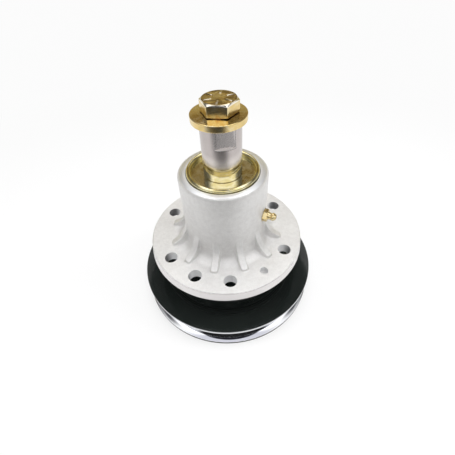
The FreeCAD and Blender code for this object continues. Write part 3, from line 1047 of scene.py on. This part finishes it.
def floorFinish(look):
    material, spot = startFinish("floor")
    seen = seenDirectly(spot)
    shade = look["floorShade"]
    diffuse = spot.node("BsdfDiffuse", None, {"Color": (*look["floorColour"], 1.0)})
    glow = spot.node("Emission", None, {"Color": plainWhite, "Strength": look["floorGlow"]})
    lit = spot.node("BsdfDiffuse", None, {"Color": (shade, shade, shade, 1.0)})
    both = spot.node("AddShader", None, {0: lit, 1: glow})
    x, y = split(spot)[:2]
    near, far = [edge / mm for edge in look["floorFade"]]
    away = rise(fromAxis(x, y), near, far)
    white = spot.node("Emission", None, {"Color": plainWhite, "Strength": look["farGlow"]})
    pale = spot.node("MixShader", None, {0: away, 1: both, 2: white})  # white far from the part
    mixed = spot.node("MixShader", None, {0: seen, 1: diffuse, 2: pale})
    spot.node("OutputMaterial", None, {"Surface": mixed})
    return material


def domeFinish(look):
    material, spot = startFinish("studio_dome")
    x, y, z = split(spot)
    flatReach = fromAxis(x, y) + 0.001  # never zero
    reach = (flatReach * flatReach + z * z) ** 0.5
    turn = y / flatReach  # from -1 at the front to 1 at the back
    climb = z / reach  # sine of the height angle
    ring = tint(rise(turn, *look["sideTurn"]), look["front"], look["side"])
    ring = tint(rise(turn, *look["cornerTurn"]), ring, look["corner"])
    ring = tint(rise(turn, *look["backTurn"]), ring, look["back"])
    low = tint(rise(turn, *look["lowBackTurn"]), look["low"], look["lowBack"])
    lift = look["lift"] * (1 - rise(turn, *look["liftTurn"]))
    colour = tint(rise(climb + lift, *look["lowClimb"]), low, ring)
    aside = 1 - rise(turn, *look["asideTurn"])
    eaves = rise(climb, *look["eavesClimb"]) * aside * rise(turn, *look["eavesTurn"])
    colour = tint(eaves, colour, look["eaves"])
    roofEdges = zip(look["roofBehind"], look["roofAside"])
    edges = [behind + aside * (beside - behind) for behind, beside in roofEdges]
    colour = tint(rise(climb, *edges), colour, look["roof"])
    front = rise(climb, *look["frontClimb"]) * (1 - rise(turn, *look["frontTurn"]))
    colour = tint(front, colour, look["frontHigh"])
    aimY, aimZ = look["overheadAim"]
    overhead = (z * aimZ + y * aimY) / reach
    colour = tint(rise(overhead, *look["overheadEdge"]), colour, look["overhead"])
    glow = spot.node("Emission", None, {"Color": colour, "Strength": 1.0})
    spot.node("OutputMaterial", None, {"Surface": glow})
    return material


def flagFinish(name, look):
    material, spot = startFinish(name)
    x, y = split(spot)[:2]
    low, high = [edge / mm for edge in look["x"]]
    if "bands" in look:
        radius = fromAxis(x, y)
        first, second = [between(radius, inner / mm, outer / mm, 0.2) for inner, outer in look["bands"]]
        dark = first | second
    else:
        dark = rise(y, -look["near"] / mm, -look["far"] / mm)
    dark = dark * between(x, low, high, look["soft"] / mm)
    clear = spot.node("BsdfTransparent")
    grey = look["grey"]
    glow = spot.node("Emission", None, {"Color": (grey, grey, grey, 1.0)})
    mixed = spot.node("MixShader", None, {0: dark, 1: clear, 2: glow})
    spot.node("OutputMaterial", None, {"Surface": mixed})
    return material


def setStudio(look):
    half = look["floorSize"] / 2
    corners = [(-half, -half, 0), (half, -half, 0), (half, half, 0), (-half, half, 0)]
    addStage("floor", flatMesh("floor", corners), floorFinish(look))
    dome = look["dome"]
    bm = bmesh.new()
    around = dome["segments"]
    bmesh.ops.create_uvsphere(bm, u_segments=around, v_segments=around // 2, radius=dome["radius"])
    geometry = bm.verts[:] + bm.edges[:] + bm.faces[:]
    bmesh.ops.bisect_plane(bm, geom=geometry, plane_co=(0, 0, 0.001), plane_no=(0, 0, 1), clear_inner=True)
    mesh = bpy.data.meshes.new("studio_dome")
    bm.to_mesh(mesh)
    bm.free()
    addStage("studio_dome", mesh, domeFinish(dome), True)
    # both cards are painted shade: a dark floor in front of the part and dark rings around the pulley's foot
    for name in ("frontFlag", "frontRings"):  # dark cards that only reflections and bounced light meet
        flag = look[name]
        half, z, near = flag["half"], flag["z"], -flag["near"]
        end = -flag.get("end", half)
        corners = [(-half, end, z), (half, end, z), (half, near, z), (-half, near, z)]
        stage = addStage(name, flatMesh(name, corners), flagFinish(name, flag), True)
        stage.visible_diffuse = flag["dimsBounce"]
    for name, lamp in look["lamps"].items():
        light = bpy.data.lights.new(name, "AREA")
        light.shape = "DISK"
        light.size = lamp["size"]
        light.energy = lamp["power"]
        holder = bpy.data.objects.new(name, light)
        bpy.context.scene.collection.objects.link(holder)
        holder.location = lamp["place"]
        aim = Vector(look["aim"]) - Vector(lamp["place"])
        holder.rotation_euler = aim.to_track_quat("-Z", "Y").to_euler()
        holder.visible_glossy = False


setCamera(view)
setWorld(studio)
setStudio(studio)
bpy.context.scene.view_settings.view_transform = "Standard"
print("studio set")
